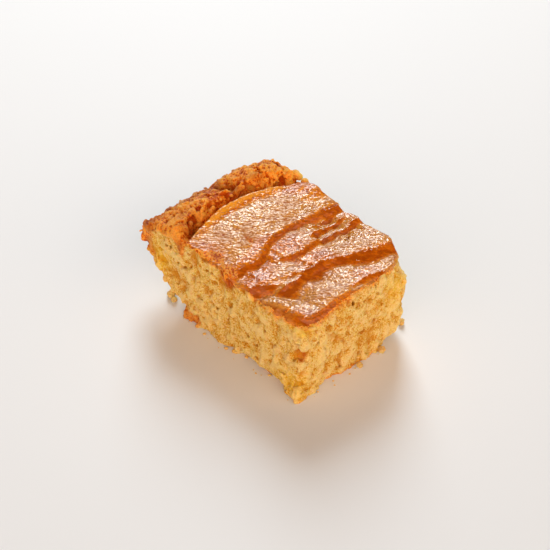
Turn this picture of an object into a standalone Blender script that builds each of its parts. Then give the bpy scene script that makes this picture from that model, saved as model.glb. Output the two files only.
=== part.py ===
"""A square of cornbread, cut from the edge of a sheet pan. One solid, in metres, +Z up.

Three sides are cut: the front (-Y), the back (+Y) and the right end (+X). The left end (-X) baked against
the pan's sloping wall, so it leans out over the base, and its upper edge rose into a rough, crumbly rim. The
smooth skin of the top tore away from the rim along a crack, where its edge curled up, and wrinkled as it
cooled.

While it is shaped, x is 0 at the right end and negative towards the rim, y is 0 at the front, and z is 0 at
the base. At the end it is moved, so that the origin is at the bottom centre of its box.
"""

import math

import bmesh
import bpy
from mathutils import Vector, noise

MM = 0.001

# The block
BASE_LENGTH = 72 * MM
DEPTH = 66 * MM
FRONT_HEIGHT = 39 * MM
BACK_HEIGHT = 43 * MM

# The pan side, which stands out over the base
LEDGE = 9 * MM  # its underside, nearly level, close above the base
LEDGE_START = 3.5 * MM
LEDGE_RISE = 4.5 * MM
LEAN = 20 * MM  # how far it leans out above that
BACK_LEAN = 16 * MM  # it narrows to this
NARROWS = (0.6, 0.9)  # between these shares of the depth
LEAN_START = 7 * MM
LEAN_RISE = 17 * MM
LEAN_EASE = 0.4  # 0 for a straight slope, 1 for one that eases in and out
ROLL_START = 27 * MM  # from here up it curves back in
ROLL = 55  # per metre: how fast
BACK_ROLL = 30  # and how fast under the back half of the rim, which is wider and higher
ROLL_CHANGES = (0.54, 0.68)  # between these shares of the depth

# The rim along the pan side, measured from the crack
RIM_WIDTH = 26 * MM
RIM_CREST = 6.5 * MM  # from the crack to the highest line of the rim
RIM_LIFT = 4.2 * MM  # how far that line stands over the top
RIM_FALL = 0.43  # slope from the crest down to the outer edge
CRACK_DEPTH = 2.2 * MM
CRACK_HALF_WIDTH = 1.3 * MM
CRACK_CLOSED = 0.35  # the share of its depth that the crack keeps at the front and the back face
CRACK_OPENS = 9 * MM  # the length over which it opens from there
CRACK_FRONT = -72 * MM  # where the crack meets the front and the back face
CRACK_BACK = -65 * MM
CRACK_BOW = 8 * MM  # how far it bows towards the pan side in between

# The skin's curled edge beside the crack
LIP_LIFT = 1.7 * MM
LIP_WIDTH = 5.5 * MM

# Edges
SKIN_EDGE_RADIUS = 1.8 * MM  # where the skin was cut cleanly, nearer the rim
SKIN_CURL_RADIUS = 4.2 * MM  # and where it curls down over the cut, at the wrinkled end
SKIN_CURL_BETWEEN = (-55 * MM, -43 * MM)  # where the one turns into the other
BASE_EDGE_RADIUS = 1.2 * MM
CORNER_RADIUS = 1.5 * MM
BACK_CORNER_RADIUS = 9 * MM
BACK_CORNER_TOP_RADIUS = 18 * MM
BACK_CORNER_WIDENS = (0.68, 0.88)  # from the one to the other between these shares of the height

# Cut faces
CUT_WAVE = 0.6 * MM
CUT_WAVE_LENGTH = 14 * MM
CUT_SKIN = 6 * MM  # a cut face's unevenness fades out this far behind it
BROKEN_CORNER = 16 * MM  # how far the chip out of the back right corner runs along each side at the base
BROKEN_CORNER_HEIGHT = 13 * MM

# Mesh
RIM_COLUMNS = 13
SKIN_COLUMNS = 42
ROWS = 28
LEVELS = 13

# Where a bottom edge stands out or is broken away: from one x of the front, or one y of the right end, to
# another, how far, and how high up. In millimetres.
EDGE_FADE = 3  # over this length each of them starts and ends
FRONT_EDGES = [
    dict(start=-74, end=-60, out=2.0, height=2.4),  # a flake of the browned bottom
    dict(start=-63, end=-43, out=1.0, height=4),
    dict(start=-38, end=-8.5, out=-2.6, height=5),  # crumb broken away
    dict(start=-8.5, end=4, out=2.0, height=8),  # the foot at the corner
]
END_EDGES = [
    dict(start=-4, end=12, out=1.3, height=7),  # the foot
    dict(start=21, end=48, out=1.0, height=5),
]

# Wrinkles of the skin. Each has a crest that runs from front to back through the x at each y of its path.
# From the crest the skin drops steeply towards the right end and climbs back slowly. All in millimetres.
WRINKLES = [
    dict(path=[(0, -46.5), (12, -45.5), (24, -47.5), (36, -48.8), (50, -48.3), (66, -46)], ends=(-9, 75),
         lift=0.9, drop=1.0, fall=4.0),
    dict(path=[(22, -41), (36, -42.8), (50, -42.6), (66, -42)], ends=(22, 75), lift=0.35, drop=0.5, fall=2.2),
    dict(path=[(28, -38.2), (44, -39.2), (66, -38)], ends=(30, 75), lift=0.6, drop=1.1, fall=2.8),
    dict(path=[(18, -37), (34, -34.8), (66, -33.3)], ends=(18, 75), lift=0.6, drop=0.9, fall=2.6),
    dict(path=[(0, -34), (12, -32), (20, -30), (30, -26), (42, -23.3), (52, -21), (66, -16)], ends=(-9, 75),
         lift=1.1, drop=1.7, fall=9.0),
    dict(path=[(26, -14), (35, -9.8), (43, -5.2), (52, -1)], ends=(25, 50), lift=0.9, drop=0.9, fall=4.0),
]
APPROACH = 6.0  # over about this far the skin climbs to a crest
RECOVERY = 3.5  # and over this far it climbs back after the drop
FADE = 6.0  # a wrinkle fades out over this length at its ends

# Swells and hollows: centre x and y, half sizes along x and y, height. In millimetres.
SWELLS = [
    (-5, 22, 8, 8, 1.0),
    (-15, 13.5, 6, 6, -1.9),
    (-20, 5.5, 7, 3, 0.9),
    (-9, 8.5, 6, 3, 0.9),
    (-23.5, 15, 1.6, 7, 0.8),
    (-61, 36, 13, 26, 0.7),
    (-59, 66, 6, 14, 1.8),
    (-56, 8, 9, 6, -0.5),
]
# Lumps of the rim, in the same terms
RIM_LUMPS = [
    (-92, 13, 5, 11, 1.4),
    (-88, 22, 6, 8, 0.8),
    (-89, 53, 9, 14, 6.0),
    (-80, 57, 8, 10, 3.5),
    (-84, 66, 9, 5, 2.0),
    (-82, 33, 4, 4, 1.2),
    (-80, 26, 3, 4, 0.8),
    (-91, 37, 7, 3, -3.4),
    (-83, 39, 4, 3, -1.4),
]
RIM_GRAIN = 1.5 * MM
RIM_GRAIN_LENGTH = 5.5 * MM

CRUST_COLOUR = (0.60, 0.18, 0.03, 1)


def clear_scene():
    for found in list(bpy.data.objects):
        bpy.data.objects.remove(found, do_unlink=True)


def lerp(a, b, t):
    return a + (b - a) * t


def smoothstep(t):
    t = min(1.0, max(0.0, t))
    return t * t * (3 - 2 * t)


def between(limits, value):
    """0 at the first limit and 1 at the second, with a smooth change from the one to the other."""
    start, end = limits
    return smoothstep((value - start) / (end - start))


def wave(x, y, z, length):
    """A smooth wave between -1 and 1 with features about as long as given."""
    return noise.noise(Vector((x, y, z)) / length)


def towards_back(y):
    """0 along the front of the pan side, 1 at its back, where the overhang is narrower."""
    return between(NARROWS, y / DEPTH)


def hill(x, y, centre_x, centre_y, half_x, half_y):
    """1 at the centre of a round swell, falling smoothly away from it."""
    return math.exp(-((x - centre_x) / half_x) ** 2 - ((y - centre_y) / half_y) ** 2)


def along(path, y):
    """The x of a crest at y, on a smooth line through its path's points."""
    for (y0, x0), (y1, x1) in zip(path, path[1:]):
        if y <= y1:
            break
    return lerp(x0, x1, smoothstep((y - y0) / (y1 - y0)))


def wrinkle_height(wrinkle, x, y):
    start, end = wrinkle["ends"]
    strength = smoothstep((y - start) / FADE) * smoothstep((end - y) / FADE)
    past_crest = x - along(wrinkle["path"], y)
    if past_crest < 0:
        height = wrinkle["lift"] * math.exp(past_crest / APPROACH)
    elif past_crest < wrinkle["fall"]:
        height = lerp(wrinkle["lift"], -wrinkle["drop"], smoothstep(past_crest / wrinkle["fall"]))
    else:
        height = -wrinkle["drop"] * math.exp((wrinkle["fall"] - past_crest) / RECOVERY)
    return strength * height


def skin_relief(x, y):
    x, y = x / MM, y / MM
    relief = sum(wrinkle_height(wrinkle, x, y) for wrinkle in WRINKLES)
    relief += sum(height * hill(x, y, *place) for *place, height in SWELLS)
    return relief * MM


def crack_x(y):
    t = y / DEPTH
    return lerp(CRACK_FRONT, CRACK_BACK, t) - CRACK_BOW * math.sin(math.pi * t)


def rim_edge_x(y):
    """The rim's outer edge, where the top turns down into the pan side."""
    return CRACK_FRONT - RIM_WIDTH + (LEAN - BACK_LEAN) * towards_back(y)


def level_height(y):
    """Height of the top without its skin's relief."""
    return lerp(FRONT_HEIGHT, BACK_HEIGHT, math.sin(math.pi / 2 * y / DEPTH))


def crack_floor(y):
    """Height of the bottom of the crack, which is shallower at both ends."""
    opened = smoothstep(min(y, DEPTH - y) / CRACK_OPENS)
    return level_height(0) - CRACK_DEPTH * lerp(CRACK_CLOSED, 1.0, opened)


def rim_height(x, y):
    from_crack = crack_x(y) - x
    rise = smoothstep(from_crack / RIM_CREST)
    height = lerp(crack_floor(y), level_height(0) + RIM_LIFT, rise)
    height -= RIM_FALL * max(0.0, from_crack - RIM_CREST)
    lumps = sum(size * hill(x / MM, y / MM, *place) for *place, size in RIM_LUMPS) * MM
    return height + rise * (lumps + RIM_GRAIN * wave(x, y, 0, RIM_GRAIN_LENGTH))


def skin_height(x, y):
    from_crack = x - crack_x(y)
    settled = smoothstep(from_crack / LIP_WIDTH)
    curl = math.sin(math.pi * min(1.0, max(0.0, y / DEPTH)))
    height = level_height(y) + skin_relief(x, y) * settled + LIP_LIFT * curl * (1 - settled)
    return lerp(crack_floor(y), height, smoothstep(from_crack / CRACK_HALF_WIDTH))


def top_height(x, y):
    return rim_height(x, y) if x < crack_x(y) else skin_height(x, y)


def pan_side_x(y, z):
    """The pan side at height z: it stands out over the base, leans out and rolls back in under the rim."""
    ledge = LEDGE * smoothstep((z - LEDGE_START) / LEDGE_RISE)
    up = min(1.0, max(0.0, (z - LEAN_START) / LEAN_RISE))
    lean = lerp(LEAN, BACK_LEAN, towards_back(y)) * lerp(up, smoothstep(up), LEAN_EASE)
    rolled = max(0.0, z - ROLL_START)
    roll = lerp(ROLL, BACK_ROLL, between(ROLL_CHANGES, y / DEPTH))
    return -BASE_LENGTH - ledge - lean + roll * rolled**2


def column_x(y):
    """The x of each column of the top at y: even steps over the rim, then over the skin."""
    crack, edge = crack_x(y), rim_edge_x(y)
    rim = [lerp(edge, crack - RIM_CREST / 3, n / (RIM_COLUMNS - 1)) for n in range(RIM_COLUMNS)]
    gap = [crack, crack + CRACK_HALF_WIDTH]
    start = crack + 2 * CRACK_HALF_WIDTH
    edge_steps = [-2.4 * MM, -1.1 * MM, 0.0]
    skin = [lerp(start, -3.8 * MM, n / (SKIN_COLUMNS - 1)) for n in range(SKIN_COLUMNS)]
    return rim + gap + skin + edge_steps


def row_places():
    """The y of each row, closer at the front and back edges."""
    inner = [lerp(4 * MM, DEPTH - 4 * MM, n / (ROWS - 1)) for n in range(ROWS)]
    return [0.0, 1.1 * MM, 2.4 * MM] + inner + [DEPTH - 2.4 * MM, DEPTH - 1.1 * MM, DEPTH]


def level_places():
    """The share of the height at each level of the sides, closer at the base and the crust."""
    inner = [lerp(0.1, 0.88, n / (LEVELS - 1)) for n in range(LEVELS)]
    return [0.0, 0.02, 0.05] + inner + [0.94, 0.98, 1.0]


def rounded(from_side, from_end, radius):
    """How far a point near an edge moves in from the side and from the end face to round that edge."""
    a, b = max(0.0, radius - from_side), max(0.0, radius - from_end)
    if a <= 0 or b <= 0:
        return 0.0, 0.0
    keep = max(a, b) / math.hypot(a, b)
    return a * (1 - keep), b * (1 - keep)


def cut_waves(x, y, z):
    """The unevenness of the three cut faces, which fades towards the middle and towards the pan side."""
    front = smoothstep(1 - y / CUT_SKIN)
    back = smoothstep(1 - (DEPTH - y) / CUT_SKIN)
    end = smoothstep(1 + x / CUT_SKIN)
    push_x = CUT_WAVE * wave(BASE_LENGTH, y, z, CUT_WAVE_LENGTH) * end
    push_y = CUT_WAVE * wave(x, DEPTH, z, CUT_WAVE_LENGTH) * (back - front)
    return push_x, push_y


def standing_out(edges, place, z):
    """How far the bottom edge stands out at a place along it and at height z."""
    out = 0.0
    for edge in edges:
        after_start = smoothstep((place - edge["start"]) / EDGE_FADE)
        before_end = smoothstep((edge["end"] - place) / EDGE_FADE)
        out += edge["out"] * after_start * before_end * smoothstep(1 - z / edge["height"])
    return out


def base_edge(x, y, z):
    """How far the bottom edge stands out at the end and at the front."""
    end = standing_out(END_EDGES, y / MM, z / MM) * MM * smoothstep(1 + x / CUT_SKIN)
    front = standing_out(FRONT_EDGES, x / MM, z / MM) * MM * smoothstep(1 - y / CUT_SKIN)
    return end, front


def broken_corner(x, y, z):
    """How far the points of the back right corner move in, along x and y alike, to the face of its chip."""
    outside = (x + y - DEPTH + BROKEN_CORNER) / 2
    return max(0.0, outside) * smoothstep(1 - z / BROKEN_CORNER_HEIGHT)


def skin_radius(x):
    """How round the edge of the top is at x."""
    return lerp(SKIN_EDGE_RADIUS, SKIN_CURL_RADIUS, between(SKIN_CURL_BETWEEN, x))


def corner_radius(y, share):
    """How round the upright corner at the right end is, for the front one or the back one."""
    if y < DEPTH / 2:
        return CORNER_RADIUS
    return lerp(BACK_CORNER_RADIUS, BACK_CORNER_TOP_RADIUS, between(BACK_CORNER_WIDENS, share))


def shaped(x, y, z, top):
    """Moves a point of the square block to where it is on the bread."""
    side = min(y, DEPTH - y)
    inward = 1 if y < DEPTH / 2 else -1
    end_in, end_down = rounded(-x, top - z, SKIN_CURL_RADIUS)
    side_in, side_down = rounded(side, top - z, skin_radius(x))
    base_end, _ = rounded(-x, z, BASE_EDGE_RADIUS)
    base_side, base_up = rounded(side, z, BASE_EDGE_RADIUS)
    corner_end, corner_side = rounded(-x, side, corner_radius(y, z / top))
    wave_x, wave_y = cut_waves(x, y, z)
    out_x, out_y = base_edge(x, y, z)
    new_x = x - end_in - base_end - corner_end + wave_x + out_x
    new_y = y + inward * (side_in + base_side + corner_side) + wave_y - out_y
    new_z = z - max(end_down, side_down) + (base_up if z > 0 else 0.0)
    chip = broken_corner(new_x, new_y, z)
    return Vector((new_x - chip, new_y - chip, new_z))


def block_point(column, row, share):
    """The point of the block at a column and a row of the top, at a share of the height there."""
    top_x = column_x(row)[column]
    top = top_height(top_x, row)
    across = 1 - top_x / rim_edge_x(row)
    pan_side = pan_side_x(row, share * top_height(rim_edge_x(row), row))
    x = top_x if share == 1 else lerp(pan_side, 0.0, across)
    return shaped(x, row, share * top, top)


def outline(columns, rows):
    """The columns and rows once round the edge of the top, anticlockwise seen from above."""
    last_column, last_row = columns - 1, rows - 1
    front = [(column, 0) for column in range(last_column)]
    end = [(last_column, row) for row in range(last_row)]
    back = [(column, last_row) for column in range(last_column, 0, -1)]
    pan_side = [(0, row) for row in range(last_row, 0, -1)]
    return front + end + back + pan_side


def build_bread():
    rows, levels = row_places(), level_places()
    columns = len(column_x(0.0))
    mesh = bmesh.new()
    top = [[mesh.verts.new(block_point(c, row, 1)) for c in range(columns)] for row in rows]
    for near, far in zip(top, top[1:]):
        for c in range(columns - 1):
            mesh.faces.new((near[c], near[c + 1], far[c + 1], far[c]))
    edge = outline(columns, len(rows))
    upper = [top[r][c] for c, r in edge]
    for share in reversed(levels[:-1]):
        lower = [mesh.verts.new(block_point(c, rows[r], share)) for c, r in edge]
        for n in range(len(edge)):
            after = (n + 1) % len(edge)
            mesh.faces.new((lower[n], lower[after], upper[after], upper[n]))
        upper = lower
    mesh.faces.new(reversed(upper))
    return mesh


def seat(mesh):
    """Moves the bread so that the origin is at the bottom centre of its box."""
    places = [vertex.co for vertex in mesh.verts]
    low = Vector(min(place[axis] for place in places) for axis in range(3))
    high = Vector(max(place[axis] for place in places) for axis in range(3))
    centre = (low + high) / 2
    bmesh.ops.translate(mesh, verts=mesh.verts, vec=(-centre.x, -centre.y, -low.z))


def crust_material():
    material = bpy.data.materials.new("baked_crumb")
    material.use_nodes = True
    shader = material.node_tree.nodes["Principled BSDF"]
    shader.inputs["Base Color"].default_value = CRUST_COLOUR
    shader.inputs["Roughness"].default_value = 0.5
    shader.inputs["Metallic"].default_value = 0.0
    return material


def main():
    clear_scene()
    mesh = build_bread()
    bmesh.ops.triangulate(mesh, faces=mesh.faces, quad_method="SHORT_EDGE")
    seat(mesh)
    data = bpy.data.meshes.new("cornbread")
    mesh.to_mesh(data)
    mesh.free()
    data.shade_smooth()
    bread = bpy.data.objects.new("cornbread", data)
    bread.data.materials.append(crust_material())
    bpy.context.scene.collection.objects.link(bread)
    size = bread.dimensions / MM
    print(f"cornbread: {size.x:.1f} x {size.y:.1f} x {size.z:.1f} mm, {len(data.polygons)} triangles")


main()
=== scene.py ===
import math
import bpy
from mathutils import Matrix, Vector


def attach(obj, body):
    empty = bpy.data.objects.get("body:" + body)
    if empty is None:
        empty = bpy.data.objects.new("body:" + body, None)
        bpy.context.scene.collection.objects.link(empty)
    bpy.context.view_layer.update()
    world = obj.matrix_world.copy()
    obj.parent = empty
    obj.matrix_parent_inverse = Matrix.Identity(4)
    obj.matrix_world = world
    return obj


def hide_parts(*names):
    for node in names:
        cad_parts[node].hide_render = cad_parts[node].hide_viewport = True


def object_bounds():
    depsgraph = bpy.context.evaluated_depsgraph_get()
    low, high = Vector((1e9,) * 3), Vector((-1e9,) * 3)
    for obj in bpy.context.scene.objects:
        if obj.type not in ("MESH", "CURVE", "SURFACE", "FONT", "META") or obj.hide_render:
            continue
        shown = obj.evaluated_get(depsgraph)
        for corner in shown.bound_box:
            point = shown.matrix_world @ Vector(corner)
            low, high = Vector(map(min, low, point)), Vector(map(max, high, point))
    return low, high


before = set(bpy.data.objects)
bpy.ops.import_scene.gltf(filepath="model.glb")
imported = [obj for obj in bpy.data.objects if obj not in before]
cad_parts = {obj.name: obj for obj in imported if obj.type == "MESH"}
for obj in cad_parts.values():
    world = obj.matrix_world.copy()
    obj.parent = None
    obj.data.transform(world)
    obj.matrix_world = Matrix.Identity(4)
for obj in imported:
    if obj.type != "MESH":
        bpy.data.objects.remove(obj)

from types import SimpleNamespace

import bmesh
import bpy
import numpy as np
import openvdb
from mathutils import Matrix, Vector, noise as lumpNoise

cadLow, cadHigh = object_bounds()
mm = 0.001


def smooth(t):
    t = np.clip(t, 0.0, 1.0)
    return t * t * (3 - 2 * t)


def blend(a, b, t):
    return a + (b - a) * t


def line(points, at, column=1):
    # straight pieces through the points: each is a place and its values
    points = np.array(points, dtype=float)
    return np.interp(at, points[:, 0], points[:, column])


def hill(x, y, centreX, centreY, halfX, halfY):
    return np.exp(-((x - centreX) / halfX) ** 2 - ((y - centreY) / halfY) ** 2)


def hills(x, y, places):
    # each place: centre x, centre y, half size along x, along y, height
    return sum(height * hill(x, y, *place) for *place, height in places)


def apartFrom(point, centre, half):
    # squared distance counted in half sizes: 1 on the surface of an ellipsoid
    return sum(((a - middle) / size) ** 2 for a, middle, size in zip(point, centre, half))


def roundedJoin(a, b, radius):
    # the crossing of two solids, each given by its signed distance, with its edge rounded
    inner = np.minimum(np.maximum(a, b), -radius)
    return inner + np.hypot(np.maximum(a + radius, 0), np.maximum(b + radius, 0))


# The bread is shaped in millimetres from its front right corner: x is 0 at the cut end and negative towards
# the pan side, y is 0 at the front cut face, z is 0 at the base.
block = {
    "toeX": 1.51,  # how far the foot stands out past the end face
    "toeY": 2.01,  # and past the front face
    "baseLength": 72.0,
    "depth": 66.0,
    "frontHeight": 39.0,
    "backHeight": 43.0,
    "voxel": 0.40,
    "low": (-103.4, -4.4, -1.35),
    "high": (3.8, 68.6, 50.8),
    "mostTriangles": 196000,
}

cornerPlace = Vector((cadHigh.x - block["toeX"] * mm, cadLow.y + block["toeY"] * mm, cadLow.z))


def spread(lattice, axis, count, step):
    # stretches one axis of a coarse lattice to count samples with a smooth cubic curve
    at = np.arange(count) * step
    cell = at.astype(int)
    t = (at - cell).astype(np.float32)
    weights = ((1 - t) ** 3, 3 * t**3 - 6 * t**2 + 4, -3 * t**3 + 3 * t**2 + 3 * t + 1, t**3)
    shape = [1, 1, 1]
    shape[axis] = count
    return sum(np.take(lattice, cell + n, axis) * (w / 6).reshape(shape) for n, w in enumerate(weights))


def noiseField(counts, size, seed, step=block["voxel"]):
    # smooth noise about as coarse as size, between about -1 and 1; size may differ along the axes
    sizes = size if isinstance(size, tuple) else (size, size, size)
    cells = [int(n * step / s) + 5 for n, s in zip(counts, sizes)]
    field = np.random.default_rng(seed).standard_normal(cells).astype(np.float32)
    for axis in range(3):
        field = spread(field, axis, counts[axis], step / sizes[axis])
    return field / (2.2 * field.std())


def sample(grid, axes, points):
    # trilinear reading of a grid at points; works for two or three axes
    voxel = block["voxel"]
    at = [(points[:, n] - axes[n][0]) / voxel for n in range(len(axes))]
    cell = [np.clip(a.astype(int), 0, size - 2) for a, size in zip(at, grid.shape)]
    part = [np.clip(a - c, 0, 1) for a, c in zip(at, cell)]
    total = 0
    for corners in np.ndindex(*(2,) * len(axes)):
        weight = 1
        for n, side in enumerate(corners):
            weight = weight * (part[n] if side else 1 - part[n])
        total = total + weight * grid[tuple(c + side for c, side in zip(cell, corners))]
    return total


def nearby(axes, centre, size):
    # the grid's cells round a centre, and how far they lie from it along each axis
    margin = 1.2
    window = []
    for axis, middle in zip(axes, centre):
        ends = np.searchsorted(axis, (middle - size - margin, middle + size + margin))
        window.append(slice(*ends))
    apart = np.ix_(*(axis[cells] - middle for axis, cells, middle in zip(axes, window, centre)))
    return tuple(window), apart


def carve(field, axes, centre, half, turn=0.0):
    # takes an ellipsoid out of the field
    window, (dx, dy, dz) = nearby(axes, centre, max(half))
    if turn:
        dx, dz = dx * math.cos(turn) + dz * math.sin(turn), dz * math.cos(turn) - dx * math.sin(turn)
    reach = (np.sqrt(apartFrom((dx, dy, dz), (0, 0, 0), half)) - 1) * min(half)
    part = field[window]
    np.maximum(part, -reach, out=part)


def addLump(field, axes, centre, size):
    window, (dx, dy, dz) = nearby(axes, centre, size)
    part = field[window]
    np.minimum(part, np.sqrt(dx**2 + dy**2 + dz**2) - size, out=part)


panSide = {
    "ledge": 9.0,  # the underside close above the base, nearly level
    "ledgeStart": 3.5,
    "ledgeRise": 4.5,
    "lean": 20.0,  # how far it leans out above that
    "backLean": 16.0,
    "leanStart": 7.0,
    "leanRise": 17.0,
    "leanChanges": (0.6, 0.3),  # from this share of the depth on, over this much
    "leanBow": 0.4,
    "rollStart": 27.0,
    "roll": 0.055,  # how fast it curves back in above there
    "backRoll": 0.030,  # and under the back half of the rim
    "rollChanges": (0.54, 0.68),  # between these shares of the depth
}


def panSideX(y, z):
    # the pan side at height z: it stands out over the base, leans out and rolls back in under the rim
    share = y / block["depth"]
    ledge = panSide["ledge"] * smooth((z - panSide["ledgeStart"]) / panSide["ledgeRise"])
    up = np.clip((z - panSide["leanStart"]) / panSide["leanRise"], 0, 1)
    first, width = panSide["leanChanges"]
    lean = blend(panSide["lean"], panSide["backLean"], smooth((share - first) / width))
    rolled = np.maximum(0, z - panSide["rollStart"])
    first, last = panSide["rollChanges"]
    roll = blend(panSide["roll"], panSide["backRoll"], smooth((share - first) / (last - first)))
    leaning = lean * blend(up, smooth(up), panSide["leanBow"])
    return -block["baseLength"] - ledge - leaning + roll * rolled**2


rim = {
    "crest": 6.5,  # from the crack to the rim's highest line
    "lift": 4.2,
    "fall": 0.43,  # slope from the crest down to the pan side
    "crackFront": -72.0,
    "crackBack": -65.0,
    "crackBow": 8.0,
    "crackDepth": 2.2,
    "crackEnds": (9.0, 0.35),  # it is shallower this near its ends, down to this share
    "crackWall": 1.3,
    "lumps": [  # centre x, centre y, half size along x, along y, height
        (-92, 13, 5, 11, 1.4), (-88, 22, 6, 8, 0.8), (-89, 53, 9, 14, 6), (-80, 57, 8, 10, 3.5),
        (-84, 66, 9, 5, 2), (-81.5, 33.5, 3.2, 3.6, 1.5), (-80, 26, 2.2, 3, 1.2), (-91, 37, 7, 2.6, -3.6),
        (-83, 38.5, 4, 2.4, -2.4),
    ],
    "nodules": [(4.4, 0.6, 61), (1.7, 0.7, 62)],  # rounded lumps with creases between: size, height, seed
    "grain": [(0.9, 0.76, 63), (9.0, 0.9, 66)],
    "crevices": (2.4, 1.2, 0.38, 64),  # size, depth, how rare, seed
    "roughDepth": 4.5,  # all of this reaches so far down
    "sideRoughness": 0.45,  # and is this strong on the pan side
    # crumbs baked on to it
    "crumbs": 45,
    "crumbArea": (-98, 26, 2.5, 61),  # from x, over this far, and the same for y
    "crumbSizes": (0.7, 0.7),  # the least, and how much more
    "seed": 21,
    # crumbs that stand at the crack's back end: place and size
    "chips": [
        (-72, 65.6, 42.9, 2.1), (-70.4, 66.4, 42, 1.7), (-66.6, 66.2, 41.4, 1.8), (-65.6, 66.6, 40.2, 1.5),
    ],
}


def crackLine(y):
    t = y / block["depth"]
    bow = rim["crackBow"] * np.sin(np.pi * np.clip(t, 0, 1))
    return blend(rim["crackFront"], rim["crackBack"], t) - bow


def rimGrain(counts):
    # clusters of rounded lumps with sharp creases between them
    grain = 0
    for size, height, seed in rim["nodules"]:
        grain = grain - 2.2 * height * np.abs(noiseField(counts, size, seed))
    for size, height, seed in rim["grain"]:
        grain = grain - height * noiseField(counts, size, seed)
    size, depth, rare, seed = rim["crevices"]
    grain = grain + depth * smooth((noiseField(counts, size, seed) - rare) / 0.4)
    return grain - grain.mean()


def addRimCrumbs(axes, heights, body, field):
    x, y, z = axes
    voxel = block["voxel"]
    fromX, spanX, fromY, spanY = rim["crumbArea"]
    least, more = rim["crumbSizes"]
    rng = np.random.default_rng(rim["seed"])
    for n in range(rim["crumbs"]):
        placeX = fromX + spanX * rng.random()
        placeY = fromY + spanY * rng.random()
        size = least + more * rng.random() ** 2
        column = int((placeX - x[0]) / voxel), int((placeY - y[0]) / voxel)
        placeZ = heights[column] - 0.3 * size
        # none in the crack or over the pan side
        if placeX > crackLine(placeY) - 1.5 or placeX < panSideX(placeY, placeZ) + 4:
            continue
        if body[(*column, int((placeZ - z[0]) / voxel))] < 0.4:
            addLump(field, axes, (placeX, placeY, placeZ), size)
    for *place, size in rim["chips"]:
        addLump(field, axes, place, size)


skin = {
    "thickness": 0.6,
    "uneven": (3.0, 0.7, 31),  # how coarsely its lower edge wavers, how far, seed
    "wall": 3.0,  # that much thicker beside the crack
    "lipLift": 2.4,  # the edge beside the crack is lifted
    "lipWidth": 6.2,
    "edgeRadius": 1.6,
    "curlRadius": 2.0,
    "curlFrom": (-55, 12),  # from this x the edges are rounded more, over this far
    "crinkles": [(0.9, 1.7, 0.13, 41), (2.2, 4.2, 0.23, 42)],  # size across, size along, height, seed
    # each fold drops towards the cut end between two lines through (y, x), from one y to another
    "folds": [
        dict(drop=2.1, ends=(-9, 75),
             near=[(0, -50), (6, -48), (12, -46), (20, -46.5), (25, -48), (30, -49), (38, -49), (45, -48),
                   (50, -47), (66, -46)],
             far=[(0, -39), (8, -40), (14, -40), (20, -41.5), (25, -44), (30, -45.5), (38, -46), (45, -45),
                  (50, -43.5), (60, -40.5), (66, -40.5)]),
        dict(drop=0.9, ends=(44, 62), near=[(44, -43.5), (62, -42.3)], far=[(44, -41.6), (62, -40.6)]),
        dict(drop=1.8, ends=(39, 64), near=[(40, -39.6), (52, -40.2), (62, -39)],
             far=[(40, -36.9), (52, -36), (62, -35.8)]),
        dict(drop=1.6, ends=(19, 75), near=[(20, -38.5), (30, -35), (40, -35.3), (50, -34.3), (66, -33.5)],
             far=[(20, -36), (27, -33), (32, -31), (50, -31.4), (66, -29)]),
        dict(drop=2.9, ends=(-9, 75),
             near=[(0, -34), (8, -32.5), (15, -31.5), (20, -31), (28, -26), (35, -25), (42, -22.5),
                   (50, -20.5), (60, -15.5), (66, -14)],
             far=[(0, -28), (5, -26), (8, -20), (13, -12.5), (22, -16.5), (30, -18), (38, -16), (44, -11),
                  (50, -6), (66, -4)]),
        dict(drop=1.0, ends=(28, 52), near=[(30, -6.5), (38, -6), (47, -4)],
             far=[(30, -2.5), (38, -2), (47, 0)]),
    ],
    "foldEase": 2.8,  # how sharply a fold starts and stops
    "foldMean": 0.64,  # the mean of its slope, the steepest being 1
    "foldFade": 6.0,  # it fades in and out over this far
    "settle": 6.5,  # over this far the skin climbs back after a fold
    "wander": [(4.5, 0.8, 43), (1.6, 0.5, 44)],  # the folds' lines sway: how coarsely, how far, seed
    "dropSlope": (0.10, 0.16),  # slopes above this count as drops, fully so this much on
    "dropSmoother": 0.5,  # the crinkles are lower there by this share
    # it sags over the cut edges: place along the edge, how far in the sag starts, how deep it goes
    "frontSag": [(-44, 0.5, 0), (-28, 1.8, 0.7), (-14, 4.2, 2.0), (-4, 6.8, 2.4), (4, 8, 2.4)],
    "endSag": [(-5, 5, 2.4), (8, 4.2, 2.2), (20, 3.6, 2.2), (26, 3.4, 1.4), (32, 3, 0.4), (70, 3, 0.4)],
    "sagWidth": 3.0,
    "endGap": 1.2,  # the skin stops this far from the cut end
    # and this far from the front: x, gap
    "frontGap": [(-45, -0.5), (-34, 0.2), (-27, 0.9), (-18, 1.1), (-16, 0.0), (-8, -0.5)],
    "frontCorner": 8.5,  # it is rounded this much at the front corner
    # swells and hollows: centre x, centre y, half size along x, along y, height
    "swells": [
        (-6, 23, 8, 8, 0.8), (-15, 12.5, 5, 4, -0.9), (-18, 4.2, 9, 3.2, 0.8), (-11.6, 1.4, 2.6, 1.7, 0.8),
        (-8.6, 3, 2.6, 1.7, 0.9), (-5.6, 4.9, 2.6, 1.7, 0.8), (-24, 14, 1.1, 7, 0.9), (-59, 66, 6, 14, 1.8),
        (-61, 36, 13, 26, 0.6), (-54, 7, 7, 4, -0.7), (-57, 20.5, 6, 1.1, -0.45),
    ],
}


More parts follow.
